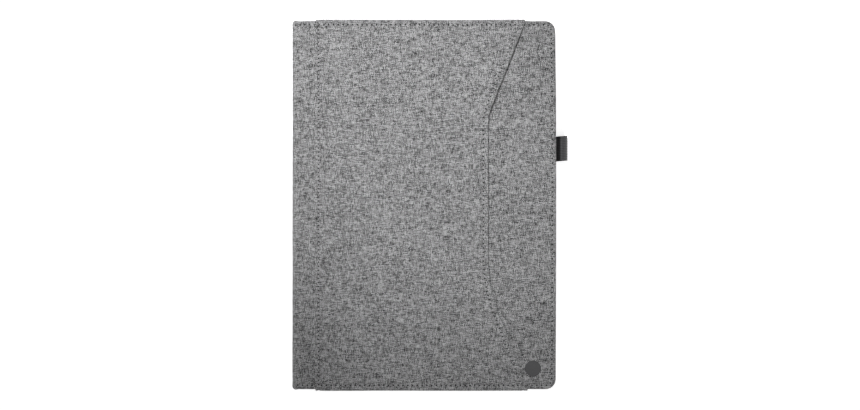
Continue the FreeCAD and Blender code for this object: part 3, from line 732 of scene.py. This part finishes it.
def panel_relief(x, t, mouth):
    """Panel: pulled in at its seams, doubled at the hem, a little loose towards the mouth."""
    ends = float(smooth(END_SEAM_Y, END_SEAM_Y - 12 * MM, abs(t)))
    sides = float(smooth(SIDE_SEAM_X, SIDE_SEAM_X + 12 * MM, x))
    ripple = (0.16 * wander((x, t), 34 * MM, 11.0) + 0.06 * wander((x, t), 12 * MM, 4.0)) * MM
    loose = 0.14 * MM * float(smooth(70 * MM, 0, mouth))
    gape = GAPE * float(smooth(14 * MM, 0, mouth)) * float(
        smooth(40 * MM, 75 * MM, t) * smooth(-HALF_H, 12 * MM - HALF_H, -t))
    hem = 0.12 * MM * float(smooth(HEM + 0.8 * MM, HEM - 0.2 * MM, mouth))
    pulled = (0.34 * channel(x - SIDE_SEAM_X) + 0.12 * channel(x - SIDE_SEAM_X, 2.4 * MM)
              + 0.24 * channel(END_SEAM_Y - abs(t))
              + 0.2 * channel(mouth - HEM_SEAM)) * MM
    return (ripple + loose) * ends * sides + hem * ends + gape - pulled


def panel_layer(name, inset, inward, fold_depth, thickness, relief):
    """A sheet as wide as the panel, less an inset, with both long edges folded down."""
    # the grid is closer beside the two long edges, whose seams need it
    near = np.array([0, 0.35, 0.7, 1.05, 1.4, 1.75, 2.1, 2.5, 2.8, 3.1, 3.5, 4.0, 4.7, 5.6]) * MM
    far = np.array([8.4, 7.4, 6.8, 6.4, 6.0, 5.6, 5.0, 4.5, 4.1, 3.8, 3.5, 3.2, 2.9, 2.4, 1.8,
                    1.2, 0.7, 0.35, 0.0]) * MM
    reach = PANEL_REACH - inset
    outer_turn = PANEL_FLAT - 1 * MM
    upward = np.concatenate([
        np.linspace(-reach, -outer_turn, 16, endpoint=False),
        np.linspace(-outer_turn, -END_SEAM_Y + 2 * MM, 9, endpoint=False),
        np.linspace(-END_SEAM_Y + 2 * MM, END_SEAM_Y - 2 * MM, 170, endpoint=False),
        np.linspace(END_SEAM_Y - 2 * MM, outer_turn, 9, endpoint=False),
        np.linspace(outer_turn, reach, 17)])
    quarter = np.linspace(0, math.pi / 2, 5)[1:]
    fold = [(PANEL_EDGE * math.sin(a), PANEL_EDGE * (1 - math.cos(a))) for a in quarter]
    fold.append((PANEL_EDGE, fold_depth))
    places, cloth, seam = [], [], []
    columns = 0
    for t in upward:
        y = float(np.clip(t, -HALF_H, HALF_H))
        lean = mouth_lean(y)
        past = max(0.0, abs(t) - outer_turn)
        left = PANEL_LEFT + inset + PANEL_EDGE + min(past, 1.6 * MM) ** 2 / (9 * MM)
        right = mouth_x(y) - (inset + PANEL_EDGE) * lean - min(past, 1.5 * MM) ** 2 / (5 * MM)
        inner = np.linspace(left + near[-1], right - far[0] * lean, 62)[1:-1]
        across = np.concatenate([left + near, inner, right - far * lean])
        row = []
        for x in across:
            mouth = (mouth_x(y) - x) / lean
            place, normal = on_panel(x, t, inward)
            place = place + normal * relief(x, t, mouth)
            row.append((place, normal, x))
        strip = [(row[0][0] + np.array([-out, 0, 0]) - row[0][1] * down, -out)
                 for out, down in fold[::-1]]
        strip += [(place, x - row[0][2]) for place, _, x in row]
        strip += [(row[-1][0] + np.array([out, 0, 0]) - row[-1][1] * down,
                   row[-1][2] - row[0][2] + out) for out, down in fold]
        columns = len(strip)
        for place, run in strip:
            x = row[0][2] + run
            distance, count = panel_seams(x, t)
            places.append(hand_made(np.array(place)))
            cloth.append((x, t) + WEAVE_SHIFT)
            seam.append((count * MM, float(np.clip(distance, -SEAM_REACH, SEAM_REACH))))
    piece = make_object(name, places, grid_faces(len(upward), columns, flip=False),
                        {"Cloth": cloth, "Seam": seam})
    thicken(piece, thickness)
    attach(piece, "front_cover")
    return piece


def lining_of_panel(x, t, mouth):
    return min(panel_relief(x, t, mouth), 0.0)


panel = panel_layer("pocket_panel_cloth", 0.0, 0.0, 0.65 * MM, 0.4 * MM, panel_relief)
panel.data.materials.append(PANEL_CLOTH)
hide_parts("pocket_panel")
pocket_back = panel_layer("pocket_panel_lining", 1.2 * MM, 0.62 * MM, 0.12 * MM, 0.2 * MM,
                          lining_of_panel)
pocket_back.data.materials.append(LINING)
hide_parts("pocket_lining")


# ---- stitches --------------------------------------------------------------------------------
THREAD_R = 0.17 * MM
THREAD_SIDES = 6
SLANT = 0.14 * MM             # how far aslant a stitch lies from end to end
# how far along a stitch, how high above the cloth and how thick the thread is there
STITCH_SHAPE = [(0.12, -1.0, 0.6), (0.19, 0.0, 0.85), (0.3, 0.7, 1.0), (0.5, 0.95, 1.05),
                (0.7, 0.7, 1.0), (0.81, 0.0, 0.85), (0.88, -1.0, 0.6)]


def stitches(name, pairs):
    """Sewing thread between neighbouring needle holes, as one mesh.  Each pair is two
    (place, normal); a stitch arches a little and lies slightly aslant."""
    places, faces, twist = [], [], []
    for (first, first_normal), (second, second_normal) in pairs:
        up = first_normal + second_normal
        up = up / np.linalg.norm(up)
        along = (second - first) / np.linalg.norm(second - first)
        side = np.cross(along, up)
        start = len(places)
        for share, lift, thick in STITCH_SHAPE:
            centre = (first + (second - first) * share + up * lift * THREAD_R
                      + side * SLANT * (share - 0.5))
            for k in range(THREAD_SIDES):
                angle = 2 * math.pi * k / THREAD_SIDES
                around = side * math.cos(angle) + up * math.sin(angle)
                places.append(centre + around * THREAD_R * thick)
                twist.append((share * np.linalg.norm(second - first), angle * MM))
        for ring in range(len(STITCH_SHAPE) - 1):
            for k in range(THREAD_SIDES):
                first_k = start + ring * THREAD_SIDES
                a, b = first_k + k, first_k + (k + 1) % THREAD_SIDES
                faces.append((a, a + THREAD_SIDES, b + THREAD_SIDES, b))
        last = start + (len(STITCH_SHAPE) - 1) * THREAD_SIDES
        faces.append(tuple(range(start, start + THREAD_SIDES)))
        faces.append(tuple(range(last + THREAD_SIDES - 1, last - 1, -1)))
    piece = make_object(name, places, faces, {"Cloth": twist})
    piece.data.materials.append(THREAD)
    return piece


def neighbours(holes):
    return list(zip(holes, holes[1:]))


def perimeter_hole(number, side, inner):
    """Needle hole of the perimeter seam in a cover's outer cloth or lining."""
    s, y = seam_point(number * PERIMETER_PITCH)
    inward, facing = (STACK, -1) if inner else (0.0, 1)
    if inner:
        y = math.copysign(min(abs(y), half_height(s, STACK) - SEAM_INSET), y)
    relief = lining_relief if inner else cloth_relief
    place, normal = on_cover(s, y, inward, side)
    normal = normal * facing
    return hand_made(place + normal * relief(s, y, SEAM_INSET)), normal


def panel_hole(x, t):
    y = float(np.clip(t, -HALF_H, HALF_H))
    place, normal = on_panel(x, t)
    mouth = (mouth_x(y) - x) / mouth_lean(y)
    return hand_made(place + normal * panel_relief(x, t, mouth)), normal


def under_panel(number):
    """Whether the front's needle hole of that number is in the panel, not in the bare cloth."""
    s, y = seam_point(number * PERIMETER_PITCH)
    x = section(s)[0]
    return s > WALL + ARC and abs(y) > END_SEAM_Y - 1 * MM and PANEL_LEFT < x < mouth_x(y)


LAST_HOLE = int(SEAM_LENGTH / PERIMETER_PITCH)
for side in ("front", "back"):
    bare, covered = [], []
    for number in range(LAST_HOLE):
        if side == "front" and under_panel(number) and under_panel(number + 1):
            covered.append(number)
        else:
            bare.append((perimeter_hole(number, side, False),
                         perimeter_hole(number + 1, side, False)))
    inner = neighbours([perimeter_hole(n, side, True) for n in range(LAST_HOLE + 1)])
    outside = stitches(side + "_seam_stitches", bare)
    inside = stitches(side + "_lining_stitches", inner)
    bend_at(side, outside, 0.0)
    bend_at(side, inside, STACK, LINING_SPREAD)
    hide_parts(side + "_seam_thread", *(["spine_seam_thread"] * (side == "front")))
    if side == "front":
        through = []
        for number in covered:
            ends = [seam_point(n * PERIMETER_PITCH) for n in (number, number + 1)]
            through.append(tuple(panel_hole(section(s)[0], y) for s, y in ends))
        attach(stitches("pocket_end_stitches", through), "front_cover")

holes = np.arange(math.ceil(-END_SEAM_Y / SIDE_PITCH), END_SEAM_Y / SIDE_PITCH)
side_row = [panel_hole(SIDE_SEAM_X, n * SIDE_PITCH) for n in holes]
hem_row = []
for number in range(1, int(MOUTH_RUNS[-1] / HEM_PITCH)):
    y = float(np.interp(number * HEM_PITCH, MOUTH_RUNS, MOUTH_STEPS))
    if abs(y) < END_SEAM_Y - 1 * MM:
        hem_row.append(panel_hole(mouth_x(y) - HEM_SEAM * mouth_lean(y), y))
for name, row, node in (("pocket_side_stitches", side_row, "pocket_side_thread"),
                        ("pocket_hem_stitches", hem_row, "pocket_hem_thread")):
    made = stitches(name, neighbours(row))
    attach(made, "front_cover")
    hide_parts(node)


# ---- pen loop --------------------------------------------------------------------------------
loop_low, loop_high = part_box("pen_loop")
tab_low, tab_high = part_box("pen_loop_tab")
BAND = (tab_high.z - tab_low.z) / 2          # the band is doubled where it is sewn in
BAND_R = (loop_high.z - loop_low.z) / 2 - BAND / 2
RIBS = 15                                    # cords across the band's width
SKEW = 0.075                                 # the loop leans towards the head


def band_path():
    """x, z of the band's middle: out of the cover, round the loop and back in."""
    centre_x, centre_z = loop_high.x - BAND_R - BAND / 2, (loop_high.z + loop_low.z) / 2
    under, over = tab_low.z + BAND / 2, tab_high.z - BAND / 2
    way = [(tab_low.x, under), (HALF_W - 4 * MM, under), (HALF_W - 1 * MM, under - 0.02 * MM),
           (HALF_W + 0.8 * MM, under - 0.1 * MM)]
    for angle in range(-105, 201, 12):
        turned = math.radians(angle)
        way.append((centre_x + BAND_R * math.cos(turned), centre_z + BAND_R * math.sin(turned)))
    way += [(HALF_W + 0.5 * MM, over + 0.1 * MM), (HALF_W - 1 * MM, over),
            (HALF_W - 4 * MM, over), (tab_low.x, over)]
    curve = bpy.data.curves.new("band path", "CURVE")
    curve.dimensions = "3D"
    spline = curve.splines.new("NURBS")
    spline.points.add(len(way) - 1)
    for point, (x, z) in zip(spline.points, way):
        point.co = (x, 0, z, 1)
    spline.order_u = 3
    spline.use_endpoint_u = True
    spline.resolution_u = 6
    holder = bpy.data.objects.new("band path", curve)
    route = [vertex.co.copy() for vertex in bpy.data.meshes.new_from_object(holder).vertices]
    bpy.data.objects.remove(holder)
    return np.array(route)


def pen_band():
    """Closed band with a cord's ridge at every rib and soft edges."""
    route = band_path()
    along = np.gradient(route, axis=0)
    along /= np.linalg.norm(along, axis=1)[:, None]
    outward = np.cross(along, np.array([0.0, 1.0, 0.0]))
    runs = np.concatenate([[0], np.cumsum(np.linalg.norm(np.diff(route, axis=0), axis=1))])
    middle_y = (loop_low.y + loop_high.y) / 2
    half = (loop_high.y - loop_low.y) / 2
    across = np.linspace(-1, 1, RIBS * 8 + 1)
    places, uv = [], []
    for centre, out, run in zip(route, outward, runs):
        for face in (1, -1):
            for share in across[::face]:
                ridge = 0.5 + 0.5 * math.cos(2 * math.pi * (share + 1) / 2 * RIBS + math.pi)
                edge = math.sqrt(max(0.0, 1 - max(0.0, (abs(share) - 0.95) / 0.05) ** 2))
                thick = (BAND / 2 - 0.07 * MM * (1 - ridge)) * edge
                fray = 0.06 * MM * wander((run, share), 1.1 * MM, 6.0) * abs(share) ** 6
                y = middle_y + half * share * 0.985 + fray
                y += SKEW * max(0.0, centre[0] - HALF_W)
                places.append((centre[0] + out[0] * thick * face, y,
                               centre[2] + out[2] * thick * face))
                uv.append((run, (share + 1) / 2 * RIBS * MM))
    around = 2 * len(across)
    faces = []
    for i in range(len(route) - 1):
        for k in range(around):
            a, b = i * around + k, i * around + (k + 1) % around
            faces.append((a, b, b + around, a + around))
    faces.append(tuple(range(around - 1, -1, -1)))
    last = (len(route) - 1) * around
    faces.append(tuple(range(last, last + around)))
    band = make_object("pen_loop_band", places, faces, {"Cloth": uv})
    merge = band.modifiers.new("edges", "WELD")
    merge.merge_threshold = 0.004 * MM
    apply_modifiers(band)
    band.data.materials.append(ELASTIC)
    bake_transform(band)
    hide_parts("pen_loop", "pen_loop_tab")


pen_band()


# ---- label -----------------------------------------------------------------------------------
def label_badge():
    """Plain round badge: a shallow dish with a soft rim."""
    low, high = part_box("blank_label")
    middle, radius = (low + high) / 2, (high.x - low.x) / 2
    tall = high.z - low.z
    # (share of the radius, share of the height), from the middle to the foot of the rim
    profile = [(0.0, 0.62), (0.3, 0.6), (0.6, 0.58), (0.76, 0.62), (0.84, 0.85), (0.9, 1.0),
               (0.95, 0.95), (0.985, 0.75), (1.0, 0.45), (1.0, 0.0)]
    turns = ROUND_STEPS
    places, faces = [(middle.x, middle.y, low.z + profile[0][1] * tall)], []
    for reach, height in profile[1:]:
        for k in range(turns):
            angle = 2 * math.pi * k / turns
            places.append((middle.x + radius * reach * math.cos(angle),
                           middle.y + radius * reach * math.sin(angle), low.z + height * tall))
    for k in range(turns):
        faces.append((0, 1 + k, 1 + (k + 1) % turns))
    for ring in range(len(profile) - 2):
        for k in range(turns):
            a, b = 1 + ring * turns + k, 1 + ring * turns + (k + 1) % turns
            faces.append((a, a + turns, b + turns, b))
    last = 1 + (len(profile) - 2) * turns
    faces.append(tuple(range(last + turns - 1, last - 1, -1)))
    badge = make_object("round_label", places, faces)
    badge.data.materials.append(moulded_material("label rubber", (0.05, 0.05, 0.052),
                                                 (0.085, 0.085, 0.088), 0.62, 1.6))
    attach(badge, "front_cover")
    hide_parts("blank_label")


label_badge()


# ---- materials of the CAD parts that show as they are ----------------------------------------
BOARD = board_material()
NODE_MATERIALS = {
    "front_board": BOARD,
    "back_board": BOARD,
    "spine_board": BOARD,
    "cover_magnets": magnet_material(),
    "tray_bond_sheet": moulded_material("bond film", (0.32, 0.31, 0.28), (0.42, 0.41, 0.38), 0.4,
                                        0.8),
    "tray_plate": moulded_material("tray plastic", (0.02, 0.02, 0.021), (0.034, 0.034, 0.036), 0.5,
                                   2.4),
    "tray_bumper": moulded_material("bumper rubber", (0.012, 0.012, 0.0125),
                                    (0.024, 0.024, 0.025), 0.72, 1.8),
    "camera_ring": moulded_material("trim plastic", (0.01, 0.01, 0.0105), (0.02, 0.02, 0.021),
                                    0.35, 3.0),
}
for node, material in NODE_MATERIALS.items():
    for holder in frame["nodes"][node].material_slots:
        holder.material = material


# ---- floor, light and camera -----------------------------------------------------------------
def floor():
    """Pale floor that glows a little, so that it stays white round the case."""
    bpy.ops.mesh.primitive_plane_add(size=6, location=(0, 0, -0.2 * MM))
    ground = bpy.context.object
    ground.name = "floor"
    shader = Shader("pale floor", roughness=0.9)
    grain = shader.noise(shader.place(), 0.01, 2.0)
    shader.colour(grain, [(0.3, (0.9, 0.9, 0.9)), (0.7, (0.92, 0.92, 0.92))])
    shader.surface.inputs["Emission Color"].default_value = (1, 1, 1, 1)
    shader.surface.inputs["Emission Strength"].default_value = 0.75
    ground.data.materials.append(shader.material)


def lamp(name, kind, place, aim, power, **settings):
    """A lamp at a place, turned towards a point; settings are the light's own."""
    light = bpy.data.lights.new(name, kind)
    light.energy = power
    for key, setting in settings.items():
        setattr(light, key, setting)
    holder = bpy.data.objects.new(name, light)
    holder.location = place
    holder.rotation_euler = (Vector(aim) - Vector(place)).to_track_quat("-Z", "Y").to_euler()
    bpy.context.scene.collection.objects.link(holder)


floor()
lamp("key", "SPOT", place=(-0.3, 0.6, 0.85), aim=(0.0, 0.05, 0), power=54,
     shadow_soft_size=0.05, spot_size=math.radians(23), spot_blend=1.0)
lamp("fill", "AREA", place=(0.5, -0.5, 1.6), aim=(0, 0, 0), power=5, shape="DISK", size=1.4)
world = bpy.data.worlds.new("studio")
world.use_nodes = True
sky = world.node_tree.nodes["Background"]
sky.inputs["Color"].default_value = (1, 1, 1, 1)
sky.inputs["Strength"].default_value = 0.22
bpy.context.scene.world = world
bpy.context.scene.view_settings.view_transform = "Standard"

CAMERA_UP = 2.5                       # from the floor
SENSOR = 36                           # mm, width of a full-frame sensor
CAMERA_X, CAMERA_Y = 4.2 * MM, 0.07 * MM
VIEW_WIDTH = 0.602                    # what the picture spans at the cover's face
camera = bpy.data.cameras.new("camera")
camera.sensor_width = SENSOR
camera.lens = SENSOR * (CAMERA_UP - DEPTH) / VIEW_WIDTH
camera.clip_end = 20
view = bpy.data.objects.new("camera", camera)
view.location = (CAMERA_X, CAMERA_Y, CAMERA_UP)
bpy.context.scene.collection.objects.link(view)
bpy.context.scene.camera = view
